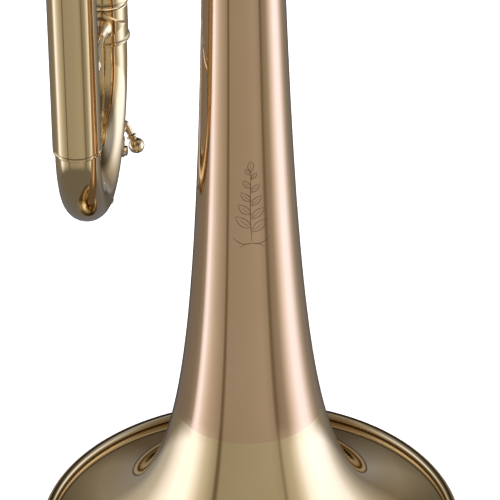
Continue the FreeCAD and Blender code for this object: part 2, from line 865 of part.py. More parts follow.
def slide_loop(ports, way, sleeve_end, bow_at, depth):
    """A valve slide: two legs with their ferrules, and the half-round bow that joins them."""
    shapes = []
    ends = []
    for port in ports:
        start = port + way * sleeve_end
        end = port + way * bow_at
        inner = port + way * (sleeve_end - depth)
        shapes.append(pipe(inner, start + way * 0.5, SLIDE_OUTER, BORE))
        profile = [
            (BORE, 0.5),
            (6.7, 0.5),
            (6.9, 0.9),
            (6.9, 1.6),
            (6.55, 2.1),
            (6.55, 5.4),
            (6.8, 5.8),
            (6.8, 6.4),
            (CROOK_OUTER, 6.8),
            (BORE, 6.8),
        ]
        shapes.append(turned(profile, start, way))
        shapes.append(pipe(start + way * 6.8, end, CROOK_OUTER, BORE))
        ends.append(end)
    shapes.append(half_bow(ends[0], ends[1], way, CROOK_OUTER, BORE))
    return shapes[0].fuse(shapes[1:])


def first_ports():
    return [V(FIRST_SLIDE["x"], FIRST_SLIDE[level], VALVE_Z[1]) for level in ("high", "low")]


def second_ports():
    return [V(VALVE_X, SECOND_SLIDE[level], VALVE_Z[2]) for level in ("high", "low")]


def third_ports():
    return [V(THIRD_SLIDE["x"], THIRD_SLIDE[level], VALVE_Z[3]) for level in ("high", "low")]


def first_slide_sleeves():
    reach = FIRST_SLIDE["sleeve_end"] - VALVE_Z[1]
    return Part.makeCompound([slide_sleeve(port, port + UP * reach, 1) for port in first_ports()])


def second_slide_sleeves():
    reach = VALVE_X - SECOND_SLIDE["sleeve_end"]
    sleeves = [slide_sleeve(port, port + LEADPIPE_SIDE * reach, 2) for port in second_ports()]
    return Part.makeCompound(sleeves)


def third_slide_sleeves():
    reach = VALVE_Z[3] - THIRD_SLIDE["sleeve_end"]
    return Part.makeCompound([slide_sleeve(port, port + DOWN * reach, 3) for port in third_ports()])


def first_slide():
    reach = FIRST_SLIDE["sleeve_end"] - VALVE_Z[1]
    return slide_loop(first_ports(), UP, reach, FIRST_SLIDE["bow"] - VALVE_Z[1], 33.0)


def third_slide():
    reach = VALVE_Z[3] - THIRD_SLIDE["sleeve_end"]
    return slide_loop(third_ports(), DOWN, reach, VALVE_Z[3] - THIRD_SLIDE["bow"], 31.0)


def second_slide():
    """The short loop on the leadpipe's side, with a pull knob on its bow."""
    reach = VALVE_X - SECOND_SLIDE["sleeve_end"]
    bow_at = VALVE_X - SECOND_SLIDE["bow"]
    loop = slide_loop(second_ports(), LEADPIPE_SIDE, reach, bow_at, 15.5)
    bend_radius = (SECOND_SLIDE["low"] - SECOND_SLIDE["high"]) / 2
    centre_y = (SECOND_SLIDE["low"] + SECOND_SLIDE["high"]) / 2
    apex = SECOND_SLIDE["bow"] - bend_radius - CROOK_OUTER
    knob = [
        (0, -1.0),
        (2.4, -1.0),
        (2.0, 0.6),
        (1.5, 1.6),
        (2.6, 2.6),
        (3.4, 3.8),
        (3.2, 5.0),
        (2.0, 5.7),
        (0, 5.9),
    ]
    return loop.fuse(turned(knob, V(apex + 0.5, centre_y, VALVE_Z[2]), LEADPIPE_SIDE))


RING_Z = 190.5
RING_INNER = 11.0
RING_WIRE = 1.35


def third_slide_ring():
    """A finger ring that stands on the upper leg, with its hole facing sideways."""
    x = THIRD_SLIDE["x"]
    tube_top = THIRD_SLIDE["high"] - CROOK_OUTER
    centre = V(x, tube_top - RING_INNER - 2 * RING_WIRE - 0.4, RING_Z)
    hoop = Part.makeTorus(RING_INNER + RING_WIRE, RING_WIRE, centre, V(1, 0, 0))
    foot = Part.makeBox(3.6, 3.4, 9.0, V(x - 1.8, tube_top - 2.4, RING_Z - 4.5))
    axis = V(x, THIRD_SLIDE["high"], 0)
    leg = rod(at(axis, RING_Z - 12), at(axis, RING_Z + 12), CROOK_OUTER + 0.02)
    inside = rod(centre - V(5, 0, 0), centre + V(5, 0, 0), RING_INNER + 0.3)
    return fused([hoop, foot.cut([leg, inside])])


SADDLE_Z = 361.0
SADDLE_RADIUS = 9.0
SADDLE_THICK = 1.4


def first_slide_saddle():
    """An open U for the thumb, which lies across the slide."""
    tube_top = FIRST_SLIDE["high"] - CROOK_OUTER
    x = FIRST_SLIDE["x"]
    radius = SADDLE_RADIUS
    thick = SADDLE_THICK
    half_width = 3.5
    centre = V(x, tube_top - radius - thick - 0.8, SADDLE_Z)
    start = centre - V(half_width, 0, 0)
    end = centre + V(half_width, 0, 0)
    hoop = pipe(start, end, radius + thick, radius)
    keep = Part.makeBox(2 * half_width, radius + thick, 2 * (radius + thick))
    keep.translate(V(x - half_width, centre.y, SADDLE_Z - radius - thick))
    prongs = []
    for side in (-1, 1):
        low_z = SADDLE_Z + (radius if side > 0 else -radius - thick)
        prongs.append(Part.makeBox(2 * half_width, 7.0, thick, V(x - half_width, centre.y - 7.0, low_z)))
    foot = Part.makeBox(4.4, 3.0, 8.0, V(x - 2.2, tube_top - 1.8, SADDLE_Z - 4.0))
    axis = V(x, FIRST_SLIDE["high"], 0)
    leg = rod(at(axis, SADDLE_Z - 12), at(axis, SADDLE_Z + 12), 6.92)
    inside = rod(start, end, radius + 0.2)
    return fused([hoop.common(keep)] + prongs + [foot.cut([leg, inside])])


ROD_Y = THIRD_SLIDE["low"] + 10.4
ROD_RADIUS = 1.1


def third_slide_stop_rod():
    """A rod fixed to the slide's lower leg, with two stop nuts on its far end."""
    x = THIRD_SLIDE["x"]
    low = THIRD_SLIDE["sleeve_end"] - 5.3
    shaft = rod(V(x, ROD_Y, low), V(x, ROD_Y, 234.0), ROD_RADIUS)
    post = rod(V(x, THIRD_SLIDE["low"], low + 1.6), V(x, ROD_Y + 1.2, low + 1.6), 1.6)
    leg = rod(V(x, THIRD_SLIDE["low"], low - 10), V(x, THIRD_SLIDE["low"], low + 12), 6.57)
    nuts = []
    for z in (229.0, 231.6):
        nuts.append(rod(V(x, ROD_Y, z), V(x, ROD_Y, z + 2.2), 2.3))
    return fused([shaft, post.cut(leg)] + nuts)


def third_slide_stop_eye():
    x = THIRD_SLIDE["x"]
    z = THIRD_SLIDE["sleeve_end"] + 3.4
    eye = rod(V(x, ROD_Y, z), V(x, ROD_Y, z + 2.4), 2.4)
    foot = Part.makeBox(3.0, 5.0, 2.4, V(x - 1.5, ROD_Y - 5.6, z))
    leg = rod(V(x, THIRD_SLIDE["low"], z - 5), V(x, THIRD_SLIDE["low"], z + 8), SLEEVE_OUTER)
    hole = rod(V(x, ROD_Y, z - 1), V(x, ROD_Y, z + 4), ROD_RADIUS + 0.05)
    return fused([eye, foot.cut(leg)]).cut(hole)


# ---------------------------------------------------------------- braces, hook and ferrules
def round_foot(centre, way, tube_radius, tube_axis):
    """A round flange, 0.9 mm thick, bent onto a tube."""
    column = rod(centre, centre + way * (tube_radius + 3), 4.6)
    shell = pipe(centre - tube_axis * 9, centre + tube_axis * 9, tube_radius + 0.9, tube_radius + 0.03)
    return column.common(shell)


def s_brace(pipe_z, bell_z, pipe_radius, bell_radius):
    """An S-shaped rod between leadpipe and bell, with a flange at each end."""
    start = V(LEADPIPE_X + pipe_radius + 0.3, 0, pipe_z)
    end = V(-bell_radius - 0.3, 0, bell_z)
    middle = (start + end) * 0.5
    reach = (end.x - start.x) / 2
    rise = (bell_z - pipe_z) / 2
    straight = V(0.75 * reach, 0, 0)
    steep = V(0.26 * reach, 0, rise * 0.9)
    curves = []
    for near, far, leave, arrive in ((start, middle, straight, steep), (middle, end, steep, straight)):
        bezier = Part.BezierCurve()
        bezier.setPoles([near, near + leave, far - arrive, far])
        curves.append(bezier.toShape())
    path = Part.Wire(curves)
    section = Part.Wire(Part.makeCircle(1.9, start, V(1, 0, 0)))
    post = path.makePipeShell([section], True, False)
    feet = [
        round_foot(V(LEADPIPE_X, 0, pipe_z), V(1, 0, 0), pipe_radius, UP),
        round_foot(V(0, 0, bell_z), V(-1, 0, 0), bell_radius, UP),
    ]
    return post.fuse(feet)


FRONT_BRACE = {"pipe_z": 216.5, "bell_z": 226.5}
REAR_BRACE = {"pipe_z": 405.0, "bell_z": 382.0}


def bell_braces():
    shapes = []
    for place in (FRONT_BRACE, REAR_BRACE):
        pipe_z, bell_z = place["pipe_z"], place["bell_z"]
        bell_radius = bell_inside(bell_z - 4.0) + SHEET + 0.1
        shapes.append(s_brace(pipe_z, bell_z, leadpipe_radius(pipe_z) + 0.02, bell_radius))
    return Part.makeCompound(shapes)


def valve_stays():
    """Short posts that tie the first and third valves to the leadpipe and to the bell."""
    shapes = []
    for number in (1, 3):
        z = VALVE_Z[number]
        pipe_face = LEADPIPE_X + leadpipe_radius(z - 4) + 0.1
        bell_face = -(bell_inside(z - 4) + SHEET + 0.1)
        spans = ((pipe_face - 1.2, VALVE_X - 8.9), (VALVE_X + 8.9, bell_face + 1.2))
        for low_x, high_x in spans:
            shapes.append(rod(V(low_x, 0, z), V(high_x, 0, z), 2.0))
    trimmed = []
    for shape in shapes:
        for number in (1, 3):
            shape = shape.cut(valve_column(number, CASING_OUTER + 0.02, -20, 1.9))
            shape = shape.cut(valve_column(number, 10.7, 1.9, 20))
        shape = shape.cut(leadpipe_envelope())
        shape = shape.cut(bell_envelope())
        trimmed.append(shape)
    return Part.makeCompound(trimmed)


def leadpipe_envelope():
    low = LEADPIPE_TAPER_Z
    profile = [
        (0, low),
        (SLIDE_OUTER + 0.02, low),
        (LEADPIPE_THIN + 0.02, LEADPIPE_TOP),
        (0, LEADPIPE_TOP),
    ]
    return turned(profile, V(LEADPIPE_X, 0, 0))


def bell_envelope():
    heights = [190 + 10 * i for i in range(14)]
    outline = [(bell_inside(z) + SHEET + 0.1, z) for z in heights]
    return turned([(0, heights[0])] + outline + [(0, heights[-1])])


def finger_hook():
    """A strip bent into a hook on top of the leadpipe, open towards the bell."""
    z = 226.0
    radius, thick, half_width = 10.5, 1.5, 3.0
    top = -(leadpipe_radius(z + 8) + 0.03)
    centre = V(LEADPIPE_X, top - radius - thick, z)
    start = centre - V(half_width, 0, 0)
    end = centre + V(half_width, 0, 0)
    hoop = pipe(start, end, radius + thick, radius)
    opening = Part.makeBox(2 * half_width + 2, 13.0, 14.0)
    opening.translate(V(centre.x - half_width - 1, centre.y - 7.0, z - 14.0))
    hoop = hoop.cut(opening)
    foot = Part.makeBox(2 * half_width, 2.0, 18.0, V(centre.x - half_width, top - 1.6, z - 9.0))
    tube = rod(V(LEADPIPE_X, 0, z - 30), V(LEADPIPE_X, 0, z + 30), -top)
    inside = rod(start, end, radius)
    return fused([hoop, foot.cut(inside)]).cut(tube)


def fixed_ferrules():
    """The stop ring on the leadpipe and the sleeve that joins the bow to the bell tail."""
    stop = [
        (SLIDE_OUTER + 0.02, STOP_RING_Z),
        (7.0, STOP_RING_Z),
        (7.2, STOP_RING_Z + 0.8),
        (6.8, STOP_RING_Z + 1.6),
        (6.8, STOP_RING_Z + 4.2),
        (7.1, STOP_RING_Z + 5.0),
        (6.5, STOP_RING_Z + 5.8),
        (SLIDE_OUTER + 0.02, STOP_RING_Z + 5.8),
    ]
    low = TAIL_JOINT_Z - 14.0
    tail = [
        (BORE + SHEET + 0.02, low),
        (6.9, low),
        (7.2, low + 0.8),
        (6.9, low + 1.6),
        (6.9, TAIL_JOINT_Z + 10.4),
        (7.2, TAIL_JOINT_Z + 11.2),
        (6.9, TAIL_JOINT_Z + 12.0),
        (BOW_OUTER + 0.02, TAIL_JOINT_Z + 12.0),
        (BOW_OUTER + 0.02, TAIL_JOINT_Z),
        (BORE + SHEET + 0.02, TAIL_JOINT_Z),
    ]
    return Part.makeCompound([turned(stop, MAIN_UPPER), turned(tail, V(VALVE_X, LOW_PORT, 0))])


# ---------------------------------------------------------------- all nodes
def nodes():
    made = {
        "bell_flare": bell_flare(),
        "bell_rim_wire": bell_rim_wire(),
        "bell_stem": bell_stem(),
        "bell_bow": bell_bow(),
        "bell_tail": bell_tail(),
        "fixed_ferrules": fixed_ferrules(),
        "leadpipe": leadpipe(),
        "mouthpiece_receiver": mouthpiece_receiver(),
        "mouthpiece": mouthpiece(),
        "main_slide_sleeve": main_slide_sleeve(),
        "third_valve_elbow": third_valve_elbow(),
        "valve_knuckles": valve_knuckles(),
        "valve_balusters": valve_balusters(),
        "top_caps": top_caps(),
        "bottom_caps": bottom_caps(),
        "valve_guides": valve_guides(),
        "main_slide_outer_leg": main_slide_outer_leg(),
        "main_slide_crook": main_slide_crook(),
        "main_slide_ferrule": main_slide_ferrule(),
        "main_slide_inner_leg": main_slide_inner_leg(),
        "main_slide_brace": main_slide_brace(),
        "water_key": water_key(),
        "water_key_cork": water_key_cork(),
        "water_key_spring": water_key_spring(),
        "water_key_screw": water_key_screw(),
        "water_key_saddle": water_key_saddle(),
        "first_slide_sleeves": first_slide_sleeves(),
        "second_slide_sleeves": second_slide_sleeves(),
        "third_slide_sleeves": third_slide_sleeves(),
        "first_slide": first_slide(),
        "second_slide": second_slide(),
        "third_slide": third_slide(),
        "first_slide_saddle": first_slide_saddle(),
        "third_slide_ring": third_slide_ring(),
        "third_slide_stop_rod": third_slide_stop_rod(),
        "third_slide_stop_eye": third_slide_stop_eye(),
        "bell_braces": bell_braces(),
        "valve_stays": valve_stays(),
        "finger_hook": finger_hook(),
    }
    for number in sorted(VALVE_Z):
        made["valve_casing_%d" % number] = valve_casing(number)
        made["piston_%d" % number] = piston(number)
        made["valve_stem_%d" % number] = valve_stem(number)
        made["button_felt_%d" % number] = button_felt(number)
        made["finger_button_%d" % number] = finger_button(number)
        made["button_pearl_%d" % number] = button_pearl(number)
        made["valve_spring_%d" % number] = valve_spring(number)
    return made


os.makedirs("parts", exist_ok=True)
for name, shape in nodes().items():
    solids = Part.makeCompound(shape.Solids) if len(shape.Solids) > 1 else shape.Solids[0]
    print(name, "valid", shape.isValid(), "solids", len(shape.Solids), "volume", round(shape.Volume, 1))
    solids.exportStep("parts/%s.step" % name)
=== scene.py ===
import bmesh
import bpy
import math
import random
from mathutils import Matrix, Vector, noise


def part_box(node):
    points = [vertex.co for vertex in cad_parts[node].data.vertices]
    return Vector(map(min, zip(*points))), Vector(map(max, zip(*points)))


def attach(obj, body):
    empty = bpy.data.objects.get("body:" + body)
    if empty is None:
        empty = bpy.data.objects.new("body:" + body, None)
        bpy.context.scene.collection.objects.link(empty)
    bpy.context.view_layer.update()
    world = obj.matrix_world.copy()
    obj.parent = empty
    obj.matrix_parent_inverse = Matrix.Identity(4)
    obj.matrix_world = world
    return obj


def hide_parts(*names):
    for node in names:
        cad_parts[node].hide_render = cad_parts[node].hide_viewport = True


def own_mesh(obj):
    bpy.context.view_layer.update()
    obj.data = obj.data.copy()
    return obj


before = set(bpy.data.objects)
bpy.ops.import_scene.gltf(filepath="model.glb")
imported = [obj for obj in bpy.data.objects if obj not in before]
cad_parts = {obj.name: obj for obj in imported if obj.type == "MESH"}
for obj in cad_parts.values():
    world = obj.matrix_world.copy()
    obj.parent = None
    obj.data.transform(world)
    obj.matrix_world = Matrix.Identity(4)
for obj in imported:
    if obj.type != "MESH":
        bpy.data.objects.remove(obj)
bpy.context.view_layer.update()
MM = 0.001


# ---------------------------------------------------------------- node graphs
class Nodes:
    """An emptied node tree, and short calls that add to it."""

    def __init__(self, tree):
        self.tree = tree
        self.tree.nodes.clear()

    def add(self, kind):
        return self.tree.nodes.new(kind)

    def link(self, source, target):
        self.tree.links.new(source, target)

    def feed(self, socket, value):
        if isinstance(value, bpy.types.NodeSocket):
            self.link(value, socket)
        else:
            socket.default_value = value

    def spread(self, value, low, high, to_low=0.0, to_high=1.0):
        node = self.add("ShaderNodeMapRange")
        self.link(value, node.inputs["Value"])
        node.inputs["From Min"].default_value = low
        node.inputs["From Max"].default_value = high
        node.inputs["To Min"].default_value = to_low
        node.inputs["To Max"].default_value = to_high
        return node.outputs["Result"]

    def math(self, operation, first, second):
        node = self.add("ShaderNodeMath")
        node.operation = operation
        self.feed(node.inputs[0], first)
        self.feed(node.inputs[1], second)
        return node.outputs["Value"]

    def blend(self, factor, first, second):
        node = self.add("ShaderNodeMix")
        node.data_type = "RGBA"
        self.feed(node.inputs["Factor"], factor)
        self.feed(node.inputs[6], first)
        self.feed(node.inputs[7], second)
        return node.outputs[2]


class Graph(Nodes):
    """A new material with a Principled shader, and the textures that feed it."""

    def __init__(self, name):
        self.material = bpy.data.materials.new(name)
        self.material.use_nodes = True
        super().__init__(self.material.node_tree)
        output = self.add("ShaderNodeOutputMaterial")
        self.shader = self.add("ShaderNodeBsdfPrincipled")
        self.link(self.shader.outputs["BSDF"], output.inputs["Surface"])
        self.place = self.add("ShaderNodeTexCoord").outputs["Object"]

    def set(self, **values):
        for name, value in values.items():
            self.shader.inputs[name.replace("_", " ")].default_value = value

    def mapped(self, scale=(1, 1, 1), shift=(0, 0, 0), place=None):
        node = self.add("ShaderNodeMapping")
        node.inputs["Scale"].default_value = scale
        node.inputs["Location"].default_value = shift
        self.link(place or self.place, node.inputs["Vector"])
        return node.outputs["Vector"]

    def noise(self, scale, detail=2.0, place=None, distortion=0.0):
        node = self.add("ShaderNodeTexNoise")
        node.inputs["Scale"].default_value = scale
        node.inputs["Detail"].default_value = detail
        node.inputs["Distortion"].default_value = distortion
        self.link(place or self.place, node.inputs["Vector"])
        return node.outputs["Fac"]

    def cells(self, scale, place=None):
        node = self.add("ShaderNodeTexVoronoi")
        node.inputs["Scale"].default_value = scale
        self.link(place or self.place, node.inputs["Vector"])
        return node.outputs["Distance"]

    def bump(self, height, distance, below=None):
        node = self.add("ShaderNodeBump")
        node.inputs["Distance"].default_value = distance
        self.link(height, node.inputs["Height"])
        if below is not None:
            self.link(below, node.inputs["Normal"])
        return node.outputs["Normal"]

    # Ambient occlusion, used as a mask for painted shade and grime in crevices.
    def crevice_shade(self, distance):
        node = self.add("ShaderNodeAmbientOcclusion")
        node.samples = 4
        node.inputs["Distance"].default_value = distance
        return node.outputs["AO"]

    def turned_place(self, centre, axis):
        """Distance from an axis and height along it, so that a texture becomes rings."""
        moved = self.mapped(shift=[-value for value in centre])
        split = self.add("ShaderNodeSeparateXYZ")
        self.link(moved, split.inputs["Vector"])
        across = [name for name in "XYZ" if name != axis]
        squares = [self.math("MULTIPLY", split.outputs[name], split.outputs[name]) for name in across]
        radius = self.math("SQRT", self.math("ADD", squares[0], squares[1]), 0.0)
        join = self.add("ShaderNodeCombineXYZ")
        self.link(radius, join.inputs["X"])
        self.link(split.outputs[axis], join.inputs["Y"])
        return join.outputs["Vector"]


def rgba(red, green, blue):
    return (red, green, blue, 1.0)


def turn_at(step, count):
    """The angle of one step of a full turn."""
    return 2 * math.pi * step / count


def midpoint(low, high):
    return (Vector(low) + Vector(high)) / 2


def add_object(name, data):
    obj = bpy.data.objects.new(name, data)
    bpy.context.scene.collection.objects.link(obj)
    return obj


def mesh_from(name, bm):
    mesh = bpy.data.meshes.new(name)
    bm.to_mesh(mesh)
    bm.free()
    return mesh


def join_rings(bm, rows, closed):
    """Faces between rings of vertices in a row. The last ring joins the first if the row is
    closed, and otherwise both ends get a cap."""
    pairs = zip([rows[-1]] + rows, rows) if closed else zip(rows, rows[1:])
    for low, high in pairs:
        for corner in range(len(low)):
            after = (corner + 1) % len(low)
            bm.faces.new((low[corner], low[after], high[after], high[corner]))
    if not closed:
        bm.faces.new(rows[0][::-1])
        bm.faces.new(rows[-1])


# ---------------------------------------------------------------- metals
YELLOW_BRASS = rgba(0.87, 0.645, 0.32)
YELLOW_DEEP = rgba(0.83, 0.60, 0.275)
ROSE_BRASS = rgba(0.83, 0.545, 0.30)
ROSE_DEEP = rgba(0.80, 0.51, 0.27)
# The colour of joint grime and of painted shade in crevices.
GRIME_AND_SHADE = rgba(0.13, 0.075, 0.032)
SILVER = rgba(0.86, 0.85, 0.82)
SILVER_DEEP = rgba(0.78, 0.76, 0.71)
NICKEL = rgba(0.74, 0.71, 0.65)
NICKEL_DEEP = rgba(0.66, 0.62, 0.55)
STEEL = rgba(0.42, 0.41, 0.40)
STEEL_DEEP = rgba(0.30, 0.29, 0.28)
GREY_GRIME_AND_SHADE = rgba(0.09, 0.08, 0.07)
# Each metal's two tones, its roughness, the grime and painted shade in its joints and crevices and how
# much lacquer it has.
METALS = {
    "yellow_brass_lacquer": (YELLOW_BRASS, YELLOW_DEEP, 0.05, GRIME_AND_SHADE, 1.0),
    "rose_brass_lacquer": (ROSE_BRASS, ROSE_DEEP, 0.05, GRIME_AND_SHADE, 1.0),
    "silver_plate": (SILVER, SILVER_DEEP, 0.05, GREY_GRIME_AND_SHADE, 0.0),
    "nickel_plate": (NICKEL, NICKEL_DEEP, 0.09, GREY_GRIME_AND_SHADE, 0.0),
    "nickel_silver": (NICKEL, NICKEL_DEEP, 0.14, GREY_GRIME_AND_SHADE, 0.0),
    "spring_steel": (STEEL, STEEL_DEEP, 0.2, GRIME_AND_SHADE, 0.0),
}
JOINT_REACH = 0.0016
SWELL_DEPTH = 0.000006
HAIRLINE_DEPTH = 0.0000012
# How much rougher the metal gets in a hairline, in a smear and in a joint.
HAIRLINE_ROUGH = 0.03
SMEAR_ROUGH = 0.05
JOINT_ROUGH = 0.15


def polished(name, bright, deep, shine, grime_and_shade, lacquer, grain):
    """Buffed metal under a clear lacquer: colour drifts, hairlines, smears, and joints and crevices
    darkened by grime and painted shade.
    """
    g = Graph(name)
    drift = g.spread(g.noise(38.0, 3.0), 0.35, 0.70)
    colour = g.blend(drift, bright, deep)
    # Ambient occlusion darkens the colour in joints and crevices: partly joint grime, partly painted
    # shade where light is blocked.
    joint_grime_and_shade = g.spread(g.crevice_shade(JOINT_REACH), 0.25, 0.75, 0.75, 0.0)
    g.link(g.blend(joint_grime_and_shade, colour, grime_and_shade), g.shader.inputs["Base Color"])
    hairline = g.noise(1.0, 2.0, place=grain(g))
    smear = g.noise(70.0, 4.0, distortion=0.6)
    brushed = g.spread(hairline, 0.3, 0.7, shine, shine + HAIRLINE_ROUGH)
    rough = g.math("ADD", brushed, g.spread(smear, 0.5, 0.8, 0.0, SMEAR_ROUGH))
    g.link(g.math("ADD", rough, g.math("MULTIPLY", joint_grime_and_shade, JOINT_ROUGH)), g.shader.inputs["Roughness"])
    swell = g.bump(g.noise(42.0, 1.0), SWELL_DEPTH)
    g.link(g.bump(hairline, HAIRLINE_DEPTH, below=swell), g.shader.inputs["Normal"])
    g.set(Metallic=1.0, Coat_Weight=lacquer, Coat_Roughness=0.03, Coat_IOR=1.5)
    return g.material


# Hairlines to the metre, across the way that a tube was buffed and along it.
ACROSS = 2400.0
ALONG = 60.0
RING_PITCH = 2600.0
LEADPIPE_X = -0.046
VALVE_X = -0.025
VALVE_Z = {1: 0.304, 2: 0.2755, 3: 0.247}


def lines(x, y, z):
    return lambda g: g.mapped(scale=(x, y, z))


def rings(centre, axis):
    return lambda g: g.mapped(scale=(RING_PITCH, RING_PITCH, 1.0), place=g.turned_place(centre, axis))


# ---------------------------------------------------------------- other finishes
def pearl():
    g = Graph("mother_of_pearl")
    layers = g.noise(260.0, 3.0, distortion=2.2)
    tint = g.blend(g.spread(layers, 0.35, 0.65), rgba(0.86, 0.84, 0.80), rgba(0.72, 0.80, 0.78))
    pink = g.spread(g.noise(180.0, 2.0, place=g.mapped(shift=(0.3, 0.1, 0.2)), distortion=1.6), 0.45, 0.7)
    g.link(g.blend(pink, tint, rgba(0.86, 0.72, 0.74)), g.shader.inputs["Base Color"])
    g.link(g.spread(layers, 0.3, 0.7, 0.12, 0.26), g.shader.inputs["Roughness"])
    g.link(g.bump(layers, 0.00002), g.shader.inputs["Normal"])
    g.set(Coat_Weight=0.8, Coat_Roughness=0.05, Subsurface_Weight=0.15, Subsurface_Scale=0.001)
    return g.material


def felt():
    g = Graph("felt")
    clumps = g.noise(900.0, 4.0)
    fibres = g.noise(5200.0, 3.0)
    tone = g.blend(clumps, rgba(0.20, 0.012, 0.016), rgba(0.36, 0.030, 0.034))
    g.link(tone, g.shader.inputs["Base Color"])
    g.link(g.bump(fibres, 0.00012), g.shader.inputs["Normal"])
    g.set(Roughness=1.0, Sheen_Weight=0.6, Sheen_Roughness=0.5)
    return g.material


def cork():
    g = Graph("cork")
    grains = g.cells(1500.0)
    tone = g.blend(g.spread(grains, 0.1, 0.6), rgba(0.52, 0.33, 0.17), rgba(0.30, 0.17, 0.08))
    pores = g.spread(g.noise(1100.0, 4.0), 0.62, 0.72)
    g.link(g.blend(pores, tone, rgba(0.12, 0.06, 0.03)), g.shader.inputs["Base Color"])
    g.link(g.bump(grains, 0.00015), g.shader.inputs["Normal"])
    g.set(Roughness=0.85)
    return g.material


def nylon():
    g = Graph("nylon")
    cloud = g.noise(500.0, 3.0)
    g.link(g.blend(cloud, rgba(0.80, 0.79, 0.74), rgba(0.70, 0.69, 0.63)), g.shader.inputs["Base Color"])
    g.link(g.spread(cloud, 0.3, 0.7, 0.38, 0.5), g.shader.inputs["Roughness"])
    g.link(g.bump(cloud, 0.00002), g.shader.inputs["Normal"])
    g.set(Subsurface_Weight=0.2, Subsurface_Scale=0.001)
    return g.material


def engraved():
    """The cut lines of an engraving: bare brass with tarnish and painted shade in the cut."""
    g = Graph("engraved_line")
    tone = g.noise(900.0, 3.0)
    # The dark brown stands for the tarnish and the painted shade of a recessed cut.
    g.link(g.blend(tone, rgba(0.16, 0.10, 0.05), rgba(0.30, 0.19, 0.10)), g.shader.inputs["Base Color"])
    g.link(g.spread(tone, 0.3, 0.7, 0.4, 0.6), g.shader.inputs["Roughness"])
    g.link(g.bump(tone, 0.00003), g.shader.inputs["Normal"])
    g.set(Metallic=0.8)
    return g.material


# ---------------------------------------------------------------- finishes on the CAD nodes
def grain_of(name):
    if name[-1] in "123":
        return rings((VALVE_X, 0, VALVE_Z[int(name[-1])]), "Y")
    if name.startswith("bell_"):
        return rings((0, 0, 0), "Z")
    if name in ("mouthpiece", "mouthpiece_receiver", "leadpipe"):
        return rings((LEADPIPE_X, 0, 0), "Z")
    if name.startswith("second_slide"):
        return lines(ALONG, ACROSS, ACROSS)
    return lines(ACROSS, ACROSS, ALONG)


def finish_of(slot, name):
    return polished(slot + "." + name, *METALS[slot], grain_of(name))


PLAIN = {"mother_of_pearl": pearl(), "felt": felt(), "cork": cork(), "nylon": nylon()}
slot_of = {name: obj.data.materials[0].name.split(".")[0] for name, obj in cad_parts.items()}
for name, obj in sorted(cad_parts.items()):
    slot = slot_of[name]
    obj.data.materials[0] = PLAIN[slot] if slot in PLAIN else finish_of(slot, name)


# ---------------------------------------------------------------- pieces that replace CAD nodes
def new_piece(name, bm, body, material, replaced=None, crease=30.0):
    """A smooth-shaded piece that rides on a body and can stand for a CAD node."""
    bmesh.ops.recalc_face_normals(bm, faces=bm.faces)
    mesh = mesh_from(name, bm)
    mesh.polygons.foreach_set("use_smooth", [True] * len(mesh.polygons))
    mesh.set_sharp_from_angle(angle=math.radians(crease))
    mesh.materials.append(material)
    obj = add_object(name, mesh)
    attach(obj, body)
    if replaced:
        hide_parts(replaced)
    return obj


def lathe(bm, profile, segments):
    """A closed profile of (radius, height) in millimetres, turned about the Z axis."""
    rows = []
    for radius, height in profile:
        ring = []
        for step in range(segments):
            turn = turn_at(step, segments)
            place = Vector((radius * math.cos(turn), radius * math.sin(turn), height)) * MM
            ring.append(bm.verts.new(place))
        rows.append(ring)
    join_rings(bm, rows, closed=True)


# The bell, in millimetres. The stem begins at the seam, and the bead at the rim has a hollow.
SEAM_Z = 45.8
STEM_END_Z = 385.0
SHEET = 0.5
BEAD = 1.3
BEAD_RADIUS = 59.796
BEAD_START = -90
BEAD_SWEEP = 305
BEAD_STEPS = 28
BEAD_HOLLOW = 0.86
HOLLOW_STEPS = 16
NARROWS_FROM = 180.0


def bore_at(z):
    """The bell's inner radius: a horn curve, drawn in a little towards the narrow end."""
    narrowing = 1.30 * (max(0.0, z - NARROWS_FROM) / (STEM_END_Z - NARROWS_FROM)) ** 2
    return 58.8 * (6.57 / (z + 6.57)) ** 0.507 - narrowing


def wall_at(z, out):
    slope = (bore_at(z + 0.01) - bore_at(z - 0.01)) / 0.02
    lean = math.atan(-slope)
    return bore_at(z) + out * math.cos(lean), z + out * math.sin(lean)


def spaced(low, high, count, power):
    """Heights from low to high that lie closer together at the low end."""
    return [low + (high - low) * (step / count) ** power for step in range(count + 1)]


def make_bell_stem():
    heights = spaced(SEAM_Z, STEM_END_Z, 120, 1.3)
    profile = [wall_at(z, SHEET) for z in heights] + [wall_at(z, 0.0) for z in reversed(heights)]
    bm = bmesh.new()
    lathe(bm, profile, 224)
    finish = finish_of("rose_brass_lacquer", "bell_stem_sheet")
    new_piece("bell_stem_sheet", bm, "instrument", finish, "bell_stem")


def make_bell_flare():
    inside = [wall_at(z, 0.0) for z in reversed(spaced(0.0, SEAM_Z, 70, 2.0))]
    outside = [wall_at(z, SHEET) for z in spaced(0.35, SEAM_Z, 70, 2.0)]
    bead = []
    for step in range(BEAD_STEPS + 1):
        turn = math.radians(BEAD_START + BEAD_SWEEP * step / BEAD_STEPS)
        bead.append((BEAD_RADIUS + BEAD * math.cos(turn), BEAD + BEAD * math.sin(turn)))
    bm = bmesh.new()
    lathe(bm, inside + bead + outside, 288)
    hollow = []
    for step in range(HOLLOW_STEPS):
        turn = -turn_at(step, HOLLOW_STEPS)
        hollow.append((BEAD_RADIUS + BEAD_HOLLOW * math.cos(turn), BEAD + BEAD_HOLLOW * math.sin(turn)))
    lathe(bm, hollow, 144)
    finish = finish_of("yellow_brass_lacquer", "bell_flare_sheet")
    new_piece("bell_flare_sheet", bm, "instrument", finish, "bell_flare")


